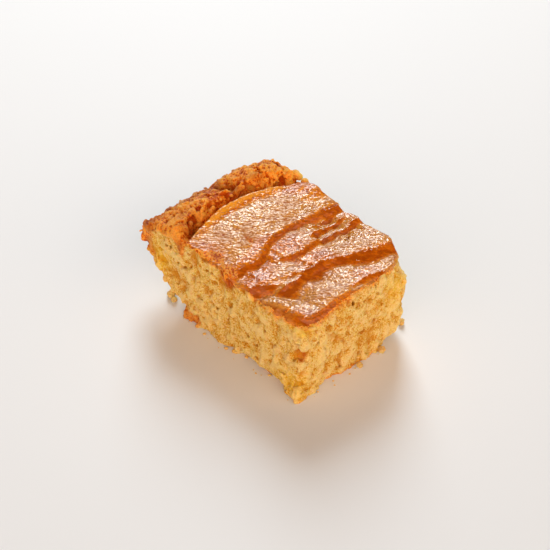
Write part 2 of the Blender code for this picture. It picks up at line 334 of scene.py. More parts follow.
def foldRelief(x, y):
    # towards the cut end the skin drops along each fold and climbs back between them
    step = x[1] - x[0]
    swayed = x[:, None]
    for size, reach, seed in skin["wander"]:
        swayed = swayed + reach * noiseField((x.size, y.size, 1), (size, size, 1), seed, step)[:, :, 0]
    slope, folded = np.zeros((2, x.size, y.size))
    for fold in skin["folds"]:
        near, far = line(fold["near"], y), line(fold["far"], y)
        start, end = fold["ends"]
        strength = smooth((y - start) / skin["foldFade"]) * smooth((end - y) / skin["foldFade"])
        t = (swayed - near) / (far - near)
        inside = smooth(t * skin["foldEase"]) * smooth((1 - t) * skin["foldEase"])
        slope += fold["drop"] * strength / (skin["foldMean"] * (far - near)) * inside
        folded = np.maximum(folded, strength * inside)
    relief = np.zeros_like(slope)
    for n in range(1, x.size):
        climb = -relief[n - 1] / skin["settle"] * (1 - folded[n])
        relief[n] = relief[n - 1] + (climb - slope[n]) * step
    return relief


def sagDepth(x, y):
    # the larger of the two sags, so that they leave one ridge round the corner
    total = 0
    for places, inward, along in ((skin["frontSag"], y, x), (skin["endSag"], -x, y)):
        start, deepest = line(places, along), line(places, along, 2)
        total = total + (deepest * smooth((start - inward) / skin["sagWidth"])) ** 4
    return total**0.25


def pastSkin(x, y):
    # how far a place lies outside the skin's outline, negative inside
    radius = skin["frontCorner"]
    fromEnd = np.maximum(radius + x + skin["endGap"], 0)
    fromFront = np.maximum(radius - y + line(skin["frontGap"], x), 0)
    return np.hypot(fromEnd, fromFront) - radius


def dropShare(heights):
    # 1 where the skin drops steeply towards the cut end, which is smoother, browner and painted with shade
    slope = np.gradient(heights, block["voxel"], axis=0)
    start, width = skin["dropSlope"]
    return smooth((-slope - start) / width)


def topHeights(x, y):
    across, along = np.ix_(x, y)
    fromCrack = across - crackLine(y)
    length, shallow = rim["crackEnds"]
    opened = smooth(np.minimum(y, block["depth"] - y) / length)
    floor = block["frontHeight"] - rim["crackDepth"] * blend(shallow, 1.0, opened)
    # the skin, with its lifted edge beside the crack
    settled = smooth(fromCrack / skin["lipWidth"])
    back = np.clip(y / block["depth"], 0, 1)
    level = blend(block["frontHeight"], block["backHeight"], np.sin(np.pi / 2 * back))
    curl = np.sin(np.pi * back)
    relief = foldRelief(x, y) + hills(across, along, skin["swells"])
    relief = relief - sagDepth(across, along)
    skinTop = level + relief * settled + skin["lipLift"] * curl * (1 - settled)
    skinTop = blend(floor, skinTop, smooth(fromCrack / rim["crackWall"]))
    # the rim
    rise = smooth(-fromCrack / rim["crest"])
    rimTop = blend(floor, block["frontHeight"] + rim["lift"], rise)
    rimTop += rise * hills(across, along, rim["lumps"])
    rimTop -= rim["fall"] * np.maximum(0, -fromCrack - rim["crest"])
    return np.where(fromCrack < 0, rimTop, skinTop)


cuts = {
    "waves": (0.6, 14, 6, 7, 8),  # the cut faces sway: how far, how coarsely, seeds of front, back and end
    "cornerRadius": 1.5,
    "backCorner": 9.0,
    "backCornerTop": 18.0,
    "backCornerWidens": (0.68, 0.88),  # shares of the height
    "chip": 16.0,
    "chipHeight": 13.0,
    # along the front's bottom edge: from x to x, how far it stands out, how high up
    "frontEdges": [
        (-75, -59, 2, 2.2), (-63, -42, 0.9, 4), (-51, -45, 1.6, 2.6), (-38, -26, -1.6, 3.5),
        (-33, -8.5, -2.2, 4.5), (-8.5, 4, 2.3, 7),
    ],
    # and along the end's: from y to y
    "endEdges": [(-4, 12, 1.5, 6), (12, 19, -0.7, 4), (21, 48, 1.1, 5), (27, 34, 0.7, 2.5)],
    "edgeFade": 3.0,
}


def edgeOut(edges, place, z):
    # how far a bottom edge stands out, for every place along it and every height
    out = np.zeros((place.size, z.size))
    fade = cuts["edgeFade"]
    for start, end, far, height in edges:
        along = smooth((place - start) / fade) * smooth((end - place) / fade)
        out += far * along[:, None] * smooth(1 - z / height)
    return out


def smoothBody(x, y, z, heights):
    # signed distance to the bread without its grain: negative inside
    voxel = block["voxel"]
    gridX, gridY, gridZ = np.ix_(x, y, z)
    slopeX, slopeY = np.gradient(heights, voxel)
    top = (gridZ - heights[:, :, None]) / np.sqrt(1 + slopeX**2 + slopeY**2)[:, :, None]
    wave, size, frontSeed, backSeed, endSeed = cuts["waves"]
    sway = wave * noiseField((x.size, 1, z.size), size, frontSeed)[:, 0, :]
    front = (sway - edgeOut(cuts["frontEdges"], x, z))[:, None, :] - gridY
    back = gridY - (block["depth"] + wave * noiseField((x.size, 1, z.size), size, backSeed))
    end = gridX - edgeOut(cuts["endEdges"], y, z)
    end = end - wave * noiseField((1, y.size, z.size), size, endSeed)
    sideX = panSideX(*np.ix_(y, z))
    slopeY, slopeZ = np.gradient(sideX, voxel)
    panward = (sideX - gridX) / np.sqrt(1 + slopeY**2 + slopeZ**2)
    # the corners, then the chip out of the back right one
    start, finish = cuts["backCornerWidens"]
    wide = smooth((gridZ / heights[:, :, None] - start) / (finish - start))
    body = roundedJoin(end, back, blend(cuts["backCorner"], cuts["backCornerTop"], wide))
    body = roundedJoin(body, front, cuts["cornerRadius"])
    body = roundedJoin(body, panward, cuts["cornerRadius"])
    chip = (gridX + gridY - block["depth"] + cuts["chip"]) / math.sqrt(2)
    chip = chip - cuts["chip"] * smooth(gridZ / cuts["chipHeight"])
    body = roundedJoin(body, chip, cuts["cornerRadius"])
    start, width = skin["curlFrom"]
    radius = blend(skin["edgeRadius"], skin["curlRadius"], smooth((gridX - start) / width))
    return roundedJoin(body, top, radius).astype(np.float32)


crumb = {
    "lumps": [(9.0, 0.40, 11), ((2.4, 2.4, 3.8), 0.78, 12), (1.1, 0.62, 13)],  # size, height, seed
    # open pores: the sizes and shares of the two layers that make them, depth, how rare, seed
    "pores": [((1.9, 0.75), (0.95, 0.6), 0.85, 0.22, 14), ((1.1, 0.8), (0.8, 0.5), 0.5, 0.25, 16)],
    # the large holes of the front face: x, z, half width, half height, depth
    "frontHoles": [
        (-52.5, 14.3, 1.3, 1.6, 1.8), (-47, 8.9, 1.6, 1.5, 2), (-42, 19.2, 1.7, 1, 1.6),
        (-60.5, 14, 0.9, 1.5, 1.4), (-66, 22, 0.8, 1.6, 1.4), (-76, 25.6, 1.2, 0.8, 1.2),
        (-42, 23, 1.8, 0.8, 1.2), (-37.5, 21.8, 1.5, 0.7, 1.2), (-31.5, 14.8, 1, 2, 1.6),
        (-34.2, 11.6, 1.4, 1.1, 1.7), (-26, 12.8, 1.9, 1, 1.5), (-22.5, 30, 1.3, 0.9, 1.6),
        (-26.5, 33.8, 1.6, 0.8, 1.6), (-12, 22, 1, 1, 1.3), (-15.3, 20.5, 1.7, 0.6, 1.3),
        (-54, 31, 1.2, 0.7, 1.1), (-48, 24, 0.7, 1.3, 1.2), (-26, 6, 1, 1.2, 1.2), (-8, 9, 0.8, 1.3, 1.3),
        (-15.5, 34.2, 1.2, 0.6, 1.2),
    ],
    # and of the end face: y, z, half width, half height, depth
    "endHoles": [
        (8.5, 25, 1.9, 1.7, 1.6), (20, 21, 1.9, 0.9, 1.6), (28.2, 35.3, 0.9, 1.2, 1.8), (24, 28, 0.8, 1, 1.2),
        (33, 8, 0.9, 1.1, 1.2), (36, 33, 0.8, 0.8, 1.2), (47, 31.5, 1.2, 1.3, 1.4), (44, 18.5, 1.3, 1.1, 1.3),
        (34.5, 16, 1, 0.7, 1.2), (14, 2, 2.2, 1.1, 1.6),
    ],
    "holeInset": 0.2,  # how far behind the faces their middles lie
    "holeTurn": 0.5,
    "cornerHole": ((-1.5, 1.5, 24.0), (2.9, 2.9, 3.3), 0.6),  # centre, half sizes, turn
}


def crumbGrain(counts):
    # how far in the crumb's surface lies: bumps and open pores
    grain = 0
    for size, height, seed in crumb["lumps"]:
        grain = grain - height * noiseField(counts, size, seed)
    for (size, share), (fineSize, fineShare), depth, rare, seed in crumb["pores"]:
        mixed = share * noiseField(counts, size, seed)
        mixed += fineShare * noiseField(counts, fineSize, seed + 1)
        grain = grain + depth * smooth((mixed - rare) / 0.4)
    return grain - grain.mean()


def cutHoles(field, axes):
    inset = crumb["holeInset"]
    for x, z, halfX, halfZ, depth in crumb["frontHoles"]:
        carve(field, axes, (x, inset, z), (halfX, depth, halfZ), crumb["holeTurn"])
    for y, z, halfY, halfZ, depth in crumb["endHoles"]:
        carve(field, axes, (-inset, y, z), (depth, halfY, halfZ))
    carve(field, axes, *crumb["cornerHole"])


def shapeBread():
    axes = [np.arange(low, high, block["voxel"]) for low, high in zip(block["low"], block["high"])]
    x, y, z = axes
    heights = topHeights(x, y)
    body = smoothBody(x, y, z, heights)
    counts = body.shape
    print("bread: smooth body", counts)

    # how much each part of the surface is skin or rim, and not open crumb
    gridX, gridY, gridZ = np.ix_(x, y, z)
    below = heights[:, :, None] - gridZ
    fromCrack = gridX - crackLine(y)[None, :, None]
    onSkin = smooth((fromCrack + 0.9) / 1.0)
    size, height, seed = skin["uneven"]
    edge = skin["thickness"] + height * noiseField(counts, size, seed)
    edge += skin["wall"] * (1 - smooth((fromCrack - 3) / 3))
    outside = smooth((pastSkin(gridX, gridY) + 0.3) / 0.8)
    skinShare = (1 - smooth((below - edge) / 1.0)) * onSkin * (1 - outside)
    inward = gridX - panSideX(*np.ix_(y, z))
    onSide = rim["sideRoughness"] * (1 - smooth((inward - 2) / 2))
    rimShare = np.maximum(1 - smooth((below - rim["roughDepth"]) / 2), onSide) * (1 - onSkin)

    field = body.copy()
    cutHoles(field, axes)
    field += crumbGrain(counts) * (1 - np.maximum(skinShare, rimShare))
    field += rimGrain(counts) * rimShare
    # the skin: fine crinkles that run along the folds
    crinkle = 0
    for across, along, height, seed in skin["crinkles"]:
        crinkle = crinkle + height * noiseField((x.size, y.size, 1), (across, along, 1), seed)
    field -= skinShare * crinkle * (1 - skin["dropSmoother"] * dropShare(heights))[:, :, None]
    addRimCrumbs(axes, heights, body, field)
    field = np.maximum(field, -gridZ).astype(np.float32)  # the flat base
    print("bread: holes, grain and rim crumbs")
    return axes, heights, body, field


def largestPart(points, faces):
    # labels spread along the edges until each connected part has one
    label = np.arange(len(points))
    starts, ends = faces.ravel(), np.roll(faces, -1, 1).ravel()
    before = None
    while not np.array_equal(label, before):
        before = label.copy()
        least = np.minimum(label[starts], label[ends])
        np.minimum.at(label, starts, least)
        np.minimum.at(label, ends, least)
        label = label[label]
    names, sizes = np.unique(label[faces[:, 0]], return_counts=True)
    faces = faces[label[faces[:, 0]] == names[sizes.argmax()]]
    used, order = np.unique(faces, return_inverse=True)
    return points[used], order.reshape(faces.shape)


def newObject(name, data):
    made = bpy.data.objects.new(name, data)
    bpy.context.scene.collection.objects.link(made)
    return made


def fieldMesh(name, axes, field):
    farAway = 3.0
    grid = openvdb.FloatGrid(background=farAway)
    grid.copyFromArray(np.clip(field, -farAway, farAway))
    points, triangles, quads = grid.convertToPolygons(isovalue=0.0, adaptivity=0.0)
    low = np.array([a[0] for a in axes])
    points = low + points * block["voxel"]
    points, quads = largestPart(points, quads.astype(int))
    data = bpy.data.meshes.new(name)
    data.from_pydata(points * mm + np.array(cornerPlace), [], quads[:, ::-1])
    data.validate()
    return newObject(name, data)


def reduce(piece, mostTriangles):
    # Blender's Decimate, applied: flat stretches give up their faces first
    triangles = sum(len(face.vertices) - 2 for face in piece.data.polygons)
    if triangles <= mostTriangles:
        return
    cut = piece.modifiers.new("fewer faces", "DECIMATE")
    cut.ratio = mostTriangles / triangles
    cut.use_collapse_triangulate = True
    graph = bpy.context.evaluated_depsgraph_get()
    reduced = bpy.data.meshes.new_from_object(piece.evaluated_get(graph))
    piece.modifiers.clear()
    old, piece.data = piece.data, reduced
    bpy.data.meshes.remove(old)


def localPoints(piece):
    points = np.empty(len(piece.data.vertices) * 3, np.float32)
    piece.data.vertices.foreach_get("co", points)
    return (points.reshape(-1, 3) - np.array(cornerPlace)) / mm


def faceCorners(piece):
    # the three vertices of every triangle
    corners = np.empty(len(piece.data.loops), np.int32)
    piece.data.loops.foreach_get("vertex_index", corners)
    return corners.reshape(-1, 3)


def setAttributes(piece, **painted):
    for name, values in painted.items():
        layer = piece.data.attributes.new(name, "FLOAT", "POINT")
        layer.data.foreach_set("value", np.clip(values, 0, 1).astype(np.float32))


axes, heights, smoothField, breadField = shapeBread()
bread = fieldMesh("bread", axes, breadField)
print("bread: mesh", len(bread.data.polygons), "quads")
reduce(bread, block["mostTriangles"])
bread.data.shade_smooth()
print("bread: reduced to", len(bread.data.polygons), "triangles")


browning = {
    # the noises that make every brown edge uneven: size, seed
    "blotch": (3.2, 51),
    "broad": (9.0, 52),
    "mottle": ((1.8, 2.8, 2.0), 53),
    # how far down the front and the end the brown reaches: place along the edge, height
    "frontTo": [
        (-80, 37.9), (-51, 38.1), (-50, 35.4), (-48, 32.8), (-45.5, 32.6), (-43, 33.7), (-40, 35.8),
        (-38, 36.7), (-33, 36.8), (-28, 36.2), (-25, 37), (-22, 37.5), (-18.5, 37), (-16.7, 35.5),
        (-15.5, 33.6), (-13.5, 35.4), (-9, 36), (4, 36.4),
    ],
    "endTo": [
        (-5, 36.6), (4, 37), (14, 37), (21, 36.6), (26, 37.4), (31, 39.4), (41, 40), (53, 41.2), (70, 41.8),
    ],
    "fade": 3.2,
    "sway": (1.6, 0.8),  # how far the blotches and the broad patches move that edge
    "underSkin": 0.6,  # how deep the brown goes under the skin
    "rimDepth": 2.4,  # and under the rim
    # below, each place is centre x, centre y, half size along x, along y, strength
    "rimDeeper": [(-76, 0, 5, 2.5, 3.2)],
    "bare": [(-69, 66.8, 5, 1.8, 1.0)],  # without any brown
    "scorched": [  # darker on the rim
        (-75.5, 5, 4.5, 11, 0.55), (-82, 8, 6, 9, 0.5), (-91, 37, 8, 3, 0.6), (-83, 38.5, 4, 3, 0.5),
        (-78, 44, 3, 7, 0.5),
    ],
    # and on the skin
    "toasted": [(-55, 4.8, 5, 2.6, 0.7), (-53.8, 20.7, 3, 1.6, 0.7), (-46, 2, 5, 3.5, 0.5)],
    "matte": [  # without gloss
        (-65, 0.8, 8, 3, 1), (-55.5, 4.6, 5.5, 2.8, 1), (-53.8, 20.7, 2.6, 1.2, 0.8),
        (-46.5, 2.2, 4, 3, 1),
    ],
    # browner, duller patches of the skin, partly painted shade where it tilts towards the front
    "dull": [
        (-58, 5.4, 6, 3.4, 0.55), (-63, 14, 5, 4, 0.5), (-54, 20.7, 3.6, 1.5, 0.8), (-52, 40, 3, 5, 0.4),
    ],
    "mottled": 0.3,  # how strongly small dull flecks show
    "deeper": [(-60, 3, 10, 6, 1.0)],  # where the flat stretch gets less painted sheen
    "paleFrom": (-47, 6, 0.8),  # the painted sheen is strongest beyond this x, over this far; before it by this share
    # the crust against the pan
    "panSideFrom": (19.0, 5, 0.1),  # brown above this height, fading over this far, so brown below it
    "panSideDepth": 5.2,
    "panSideDeeper": [(0, 31, 5, 7, 3.0)],  # as the places above, but along y and z
    "rusty": (88, 6, 20, 4, 0.6),  # beyond -x, over this far, above z, over this far, strength
    # the film over the base, and the brown piece of underside at the front, darkened further with painted
    # shade
    "base": (0.7, 0.6),  # depth, strength
    "flake": (-67.5, 8.5, 2.4, 4.0),  # middle, half length, height, how far back
    "flakeBrown": (0.85, 0.35),  # how brown, and how much it is darkened with painted shade
    "holeBrown": (0.75, 0.2),  # the same for the painted shade in the hole in the front corner
    # the lifted edge beside the crack
    "lipWidth": 3.2,
    "lipEnds": (8, 60, 8),  # from y to y, fading over this far
    # painted glow where light would shine through thin crumb: centre, half size along each axis, strength
    "golden": [
        ((-88, 0, 21), (5, 5, 7), 0.9), ((-1, 56, 27), (6, 7, 12), 0.35), ((-4, 0, 6), (9, 5, 6), 0.4),
        ((-69, 66.5, 42), (5, 2.5, 3), 1), ((-2, 2, 35.5), (6, 6, 1.6), 0.8),
    ],
}


def readSurface():
    # what painting needs at every vertex
    points = localPoints(bread)

    def flatAt(grid):
        return sample(grid, axes[:2], points)

    def noiseAt(size, seed):
        return sample(noiseField(smoothField.shape, size, seed), axes, points)

    x, y, z = points.T
    fromCrack = x - crackLine(y)
    return SimpleNamespace(
        x=x, y=y, z=z,
        fromCrack=fromCrack,
        onRim=1 - smooth((fromCrack + 1.0) / 2.0),
        outside=pastSkin(x, y),
        below=flatAt(heights) - z,
        cavity=-sample(smoothField, axes, points),
        drop=flatAt(dropShare(heights)),
        sunk=-flatAt(foldRelief(axes[0], axes[1])),
        blotch=noiseAt(*browning["blotch"]),
        broad=noiseAt(*browning["broad"]),
        mottle=noiseAt(*browning["mottle"]),
    )


def patches(at, name):
    return hills(at.x, at.y, browning[name])


def paintUpperEdges(at):
    down = np.where(-at.x < at.y, line(browning["endTo"], at.y), line(browning["frontTo"], at.x))
    fine, broad = browning["sway"]
    brown = 1 - smooth((down - at.z - fine * at.blotch - broad * at.broad) / browning["fade"] + 0.4)
    brown = np.maximum(brown, 1 - smooth((at.below - browning["underSkin"] - 0.6 * at.blotch) / 1.2))
    brown = brown * (1 - smooth((at.outside - 0.3 - at.blotch) / 2.0))
    brown = brown * (1 - 0.3 * smooth((at.outside + 0.3) / 0.6))
    rimDepth = browning["rimDepth"] + 1.2 * at.blotch + patches(at, "rimDeeper")
    return blend(brown, 1 - smooth((at.below - rimDepth) / 2.0), at.onRim)


def paintPanSide(at):
    inward = at.x - panSideX(at.y, at.z)
    depth = browning["panSideDepth"] + hills(at.y, at.z, browning["panSideDeeper"])
    crust = 1 - smooth((inward - depth + 1.5 - 1.8 * at.blotch) / 2.5)
    start, fade, least = browning["panSideFrom"]
    return crust * blend(least, 1.0, smooth((at.z - start - 2 * at.broad) / fade))


def paintBase(at):
    depth, strength = browning["base"]
    baked = strength * smooth((at.broad + 0.5 * at.blotch + 0.05) / 0.3)
    return baked * (1 - smooth((at.z - depth - 0.5 * at.blotch) / 0.7))


def paintFlake(at):
    middle, half, high, deep = browning["flake"]
    flake = smooth((half - np.abs(at.x - middle)) / 2) * (1 - smooth((at.z - high - 0.8 * at.blotch) / 0.8))
    return flake * (1 - smooth((at.y - deep) / 4))


def paintHole(at):
    # painted shade inside the hole in the front corner
    centre, half, turn = crumb["cornerHole"]
    apart = apartFrom((at.x, at.y, at.z), centre, half)
    return 1 - smooth((apart - 0.9 - 0.3 * at.blotch) / 0.6)


def paintCrumb(at):
    crust, flake, inHole = paintPanSide(at), paintFlake(at), paintHole(at)
    (flakeBrown, flakeDark), (holeBrown, holeDark) = browning["flakeBrown"], browning["holeBrown"]
    brown = np.maximum(paintUpperEdges(at), crust)
    brown = brown * (1 - patches(at, "bare"))
    # the hole's brown is painted shade
    brown = np.maximum.reduce([brown, paintBase(at), flakeBrown * flake, holeBrown * inHole])

    scorched = patches(at, "scorched") * at.onRim * brown
    out, outFade, up, upFade, strength = browning["rusty"]
    rusty = crust * smooth((-at.x - out) / outFade) * smooth((at.z - up) / upFade)
    # the flake and the corner hole are darkened with painted shade
    scorched = scorched + strength * rusty + flakeDark * flake + holeDark * inHole
    scorched = scorched + patches(at, "toasted")
    scorched = scorched * (0.7 + 0.6 * at.blotch)

    # painted glow where light would shine through thin crumb
    golden = 0
    for centre, half, strength in browning["golden"]:
        apart = apartFrom((at.x, at.y, at.z), centre, half)
        golden = np.maximum(golden, strength * np.exp(-apart) * (0.8 + 0.5 * at.broad))
    # painted shade: darker colour in the crumb's hollows; painted highlight: lighter colour on its raised
    # grains
    hollow = smooth((at.cavity - 0.05) / 1.3)
    raised = smooth((-at.cavity - 0.05) / 0.6)
    setAttributes(bread, browning=brown, hollow=hollow, raised=raised, scorched=scorched, golden=golden)


def paintSkin(at):
    edge = smooth((at.below - 0.5) / 1.4)
    start, end, fade = browning["lipEnds"]
    lip = 1 - smooth((at.fromCrack - browning["lipWidth"] - 0.8 * at.broad) / 1.2)
    lip = lip * smooth((at.y - start) / fade) * smooth((end - at.y) / fade)
    lip = lip * smooth((at.fromCrack + 0.9) / 0.5)

    start, fade, before = browning["paleFrom"]
    # painted sheen: a lighter colour where the skin lies flat towards the window, none on the drops
    pale = blend(before, 1.0, smooth((start - at.x) / fade)) * (1 - at.drop) * (1 - np.maximum(edge, lip))
    pale = pale * (1 - patches(at, "deeper"))
    pale = pale * smooth((at.broad + 0.6) / 0.6)
    dull = browning["mottled"] * smooth((at.mottle - 0.1) / 0.4) + patches(at, "dull")
    # painted shade where the skin sags over the edges and in the folds, which are browner too
    sagged = smooth((sagDepth(at.x, at.y) - 0.5) / 1.0)
    valley = np.maximum(at.drop * smooth((at.sunk - 0.1) / 1.0), sagged)

    # where the skin's material goes
    glaze = (1 - at.onRim) * (1 - smooth((at.below - 0.8 - 0.7 * at.blotch) / 0.6))
    glaze = np.maximum(glaze * (1 - smooth((at.outside + 0.3 - 0.6 * at.blotch) / 0.6)), lip)
    matte = patches(at, "matte")
    glaze = glaze * (1 - smooth((matte + 0.5 * at.blotch - 0.4) / 0.3))
    edge = np.maximum(np.maximum(0.6 * edge, lip), 2.0 * at.drop * (1 - at.drop))
    setAttributes(bread, edge=edge, pale=pale, dull=dull * (1 - at.drop), valley=valley, glaze=glaze)


surface = readSurface()
paintCrumb(surface)
paintSkin(surface)
print("bread: browning painted")


def feed(tree, node, inputs):
    # each input is fed from another node or set to a value
    for name, value in inputs.items():
        socket = node.inputs[name]
        if isinstance(value, bpy.types.NodeSocket):
            tree.links.new(value, socket)
        else:
            socket.default_value = (*value, 1) if socket.type == "RGBA" else value
    return node


def newNode(tree, kind, inputs={}):
    return feed(tree, tree.nodes.new("ShaderNode" + kind), inputs)


def newMaterial(name):
    made = bpy.data.materials.new(name)
    made.use_nodes = True
    tree = made.node_tree
    tree.nodes.clear()
    shader = newNode(tree, "BsdfPrincipled")
    newNode(tree, "OutputMaterial", {"Surface": shader.outputs["BSDF"]})
    return made, tree, shader


def readAttributes(tree, *names):
    nodes = [newNode(tree, "Attribute") for name in names]
    for node, name in zip(nodes, names):
        node.attribute_name = name
    return [node.outputs["Fac"] for node in nodes]


def turnedPlace(tree, output, turn, stretch=(1, 1, 1)):
    # places turned about the upright axis, in degrees, and stretched
    place = newNode(tree, "TexCoord").outputs[output]
    mapping = tree.nodes.new("ShaderNodeMapping")
    mapping.vector_type = "TEXTURE"
    feed(tree, mapping, {"Vector": place, "Rotation": (0, 0, math.radians(turn)), "Scale": stretch})
    return mapping.outputs["Vector"]


def noise(tree, scale, detail, roughness, stretch=(1, 1, 1), turn=0):
    place = turnedPlace(tree, "Object", turn, stretch)
    inputs = {"Vector": place, "Scale": scale, "Detail": detail, "Roughness": roughness}
    return newNode(tree, "TexNoise", inputs).outputs["Fac"]


def ramp(tree, value, stops):
    node = newNode(tree, "ValToRGB", {"Fac": value})
    node.color_ramp.interpolation = "EASE"
    for n, (place, colour) in enumerate(stops):
        if n < 2:
            stop = node.color_ramp.elements[n]
            stop.position = place
        else:
            stop = node.color_ramp.elements.new(place)
        stop.color = (*colour, 1)
    return node.outputs["Color"]


def tones(tree, value, look, name):
    return ramp(tree, value, [(place, look[colour]) for place, colour in look[name]])


def mixColour(tree, a, b, share):
    node = tree.nodes.new("ShaderNodeMix")
    node.data_type = "RGBA"
    feed(tree, node, {0: share, 6: a, 7: b})  # its share and its two colours
    return node.outputs[2]


def layColours(tree, look, colour, layers):
    # each layer: the name of its colour, and how much of it shows
    for name, share in layers:
        colour = mixColour(tree, colour, look[name], share)
    return colour


def maths(tree, kind, a, b, limit=False):
    node = newNode(tree, "Math", {0: a, 1: b})
    node.operation = kind
    node.use_clamp = limit
    return node.outputs[0]


def times(tree, a, b):
    return maths(tree, "MULTIPLY", a, b)


def mixNoise(tree, a, b, share):
    return maths(tree, "ADD", times(tree, a, 1 - share), times(tree, b, share))


def connectLook(tree, shader, look, colour, rough, height):
    share, reach, scale = look["glow"]
    feed(tree, shader, {
        "Base Color": colour,
        "Roughness": rough,
        "Subsurface Weight": share,
        "Subsurface Radius": reach,
        "Subsurface Scale": scale,
        "Specular IOR Level": look["shine"],
        "Specular Tint": look["shineColour"],
        "Normal": newNode(tree, "Bump", {"Distance": look["bumps"], "Height": height}).outputs["Normal"],
    })


crumbLook = {
    # light also serves as the painted highlight on raised grains, deep as the painted shade in the hollows
    "light": (0.83, 0.605, 0.24),
    "middle": (0.73, 0.45, 0.085),
    "deep": (0.57, 0.20, 0.003),
    "shining": (0.92, 0.56, 0.03),  # painted glow where light would shine through
    "golden": (1.0, 0.45, 0.065),
    "brown": (1.0, 0.28, 0.008),
    "dark": (0.52, 0.070, 0.0004),
    "scorched": (0.30, 0.034, 0.0005),
    "crumbTones": [(0.40, "deep"), (0.58, "light"), (0.48, "middle")],
    "brownTones": [(0.42, "dark"), (0.55, "golden"), (0.48, "brown")],
    # noises: how fine, detail, roughness
    "fine": (1500, 2, 0.6),
    "broad": (190, 3, 0.6),
    "grains": (900, 2, 0.6),
    "roughness": 0.85,
    "brownSmoother": 0.42,  # less rough by this where it is browned
    "shine": 0.15,
    "shineColour": (1.0, 0.85, 0.65),
    "glow": (0.4, (1.0, 0.5, 0.12), 0.0015),  # light let in: share, reach of red, green and blue, scale
    "bumps": 0.0007,
    "brownBumps": 1.6,
}


def crumbMaterial():
    made, tree, shader = newMaterial("bakedCrumb")
    names = ("browning", "hollow", "raised", "golden", "scorched")
    browned, hollow, raised, golden, scorched = readAttributes(tree, *names)
    fine, broad, grains = (noise(tree, *crumbLook[name]) for name in ("fine", "broad", "grains"))

    tone = mixNoise(tree, fine, broad, 0.4)
    # the pale crumb, then painted shade in its hollows, painted highlight on its raised grains and a painted
    # glow
    pale = tones(tree, tone, crumbLook, "crumbTones")
    pale = layColours(tree, crumbLook, pale, [
        ("deep", times(tree, hollow, 0.8)), ("light", times(tree, raised, 0.6)), ("shining", golden)])

    tone = mixNoise(tree, tone, grains, 0.6)
    # the browned crumb, then painted shade in its hollows and painted highlight on its raised grains
    toasted = tones(tree, tone, crumbLook, "brownTones")
    toasted = layColours(tree, crumbLook, toasted, [
        ("dark", hollow), ("golden", times(tree, raised, 0.7)), ("scorched", scorched)])

    colour = mixColour(tree, pale, toasted, browned)
    smoother = times(tree, browned, crumbLook["brownSmoother"])
    rough = maths(tree, "SUBTRACT", crumbLook["roughness"], smoother)
    brownHeight = times(tree, times(tree, grains, browned), crumbLook["brownBumps"])
    connectLook(tree, shader, crumbLook, colour, rough, maths(tree, "ADD", fine, brownHeight))
    return made


skinLook = {
    "light": (0.76, 0.225, 0.003),
    "middle": (0.60, 0.135, 0.001),
    "dark": (0.30, 0.044, 0.0004),
    "pale": (0.65, 0.31, 0.06),  # painted sheen: lighter on the flat stretches that face the window
    # painted shade in the crinkles' dents
    "dent": (0.40, 0.115, 0.002),
    "tones": [(0.40, "dark"), (0.60, "light"), (0.50, "middle")],
    "valley": (0.52, 0.095, 0.0008),  # browner and painted shade in the folds, painted shade where it sags over the edges
    "edge": (0.90, 0.36, 0.014),  # along the curled edges
    # noises: how fine, detail, roughness, stretch along the folds and its turn in degrees
    "broad": (160, 4, 0.65, (1, 1.5, 1), -28),
    "crinkle": (1300, 1.0, 0.4, (1, 1.7, 1), -48),
    "streaks": (480, 1.0, 0.5, (1, 2.2, 1), -48),
    # brown specks, and painted shade in pinholes
    "freckles": (620, 1, 0.5),
    "roughness": (0.08, 0.22),
    "dullRoughness": 0.7,
    "shine": 0.54,
    "shineColour": (1.0, 0.91, 0.78),
    "glow": (0.08, (1.0, 0.4, 0.1), 0.001),
    "bumps": 0.00045,
    "streakBumps": 1.6,
    "valleyBumps": 0.6,  # that much flatter in the folds
}


def skinMaterial():
    made, tree, shader = newMaterial("brownedSkin")
    names = ("broad", "crinkle", "streaks", "freckles")
    broad, crinkle, streaks, freckles = (noise(tree, *skinLook[name]) for name in names)
    pale, dull, valley, edge = readAttributes(tree, "pale", "dull", "valley", "edge")
    black, white = (0, 0, 0), (1, 1, 1)

    colour = tones(tree, mixNoise(tree, broad, crinkle, 0.45), skinLook, "tones")
    shade = times(tree, ramp(tree, streaks, [(0.40, white), (0.58, black)]), times(tree, valley, 0.7))
    edge = times(tree, edge, 0.8)
    # brown specks with painted shade in pinholes, and painted shade in the dents, fainter in the folds and
    # along the edges
    marked = maths(tree, "SUBTRACT", 0.9, times(tree, maths(tree, "MAXIMUM", valley, edge), 0.6))
    spots = ramp(tree, freckles, [(0.64, black), (0.71, white)])
    dents = ramp(tree, crinkle, [(0.36, white), (0.46, black)])
    colour = layColours(tree, skinLook, colour, [
        ("pale", times(tree, pale, 0.8)), ("valley", times(tree, valley, 0.6)), ("dark", shade),
        ("edge", edge), ("dark", times(tree, dull, 0.7)), ("dark", times(tree, spots, marked)),
        ("dent", times(tree, dents, marked))])

    smoothest, roughest = skinLook["roughness"]
    gloss = newNode(tree, "MapRange", {
        "Value": broad, "From Min": 0.35, "From Max": 0.65, "To Min": smoothest, "To Max": roughest})
    pits = times(tree, maths(tree, "MAXIMUM", dents, spots), 0.4)
    pits = times(tree, pits, maths(tree, "SUBTRACT", 1.0, valley))
    rough = maths(tree, "ADD", gloss.outputs["Result"], times(tree, edge, 0.15), True)
    rough = maths(tree, "ADD", rough, times(tree, dull, skinLook["dullRoughness"]), True)
    rough = maths(tree, "ADD", rough, pits, True)

    height = maths(tree, "ADD", crinkle, times(tree, streaks, skinLook["streakBumps"]))
    flatter = maths(tree, "SUBTRACT", 1.0, times(tree, valley, skinLook["valleyBumps"]))
    connectLook(tree, shader, skinLook, colour, rough, times(tree, height, flatter))
    return made


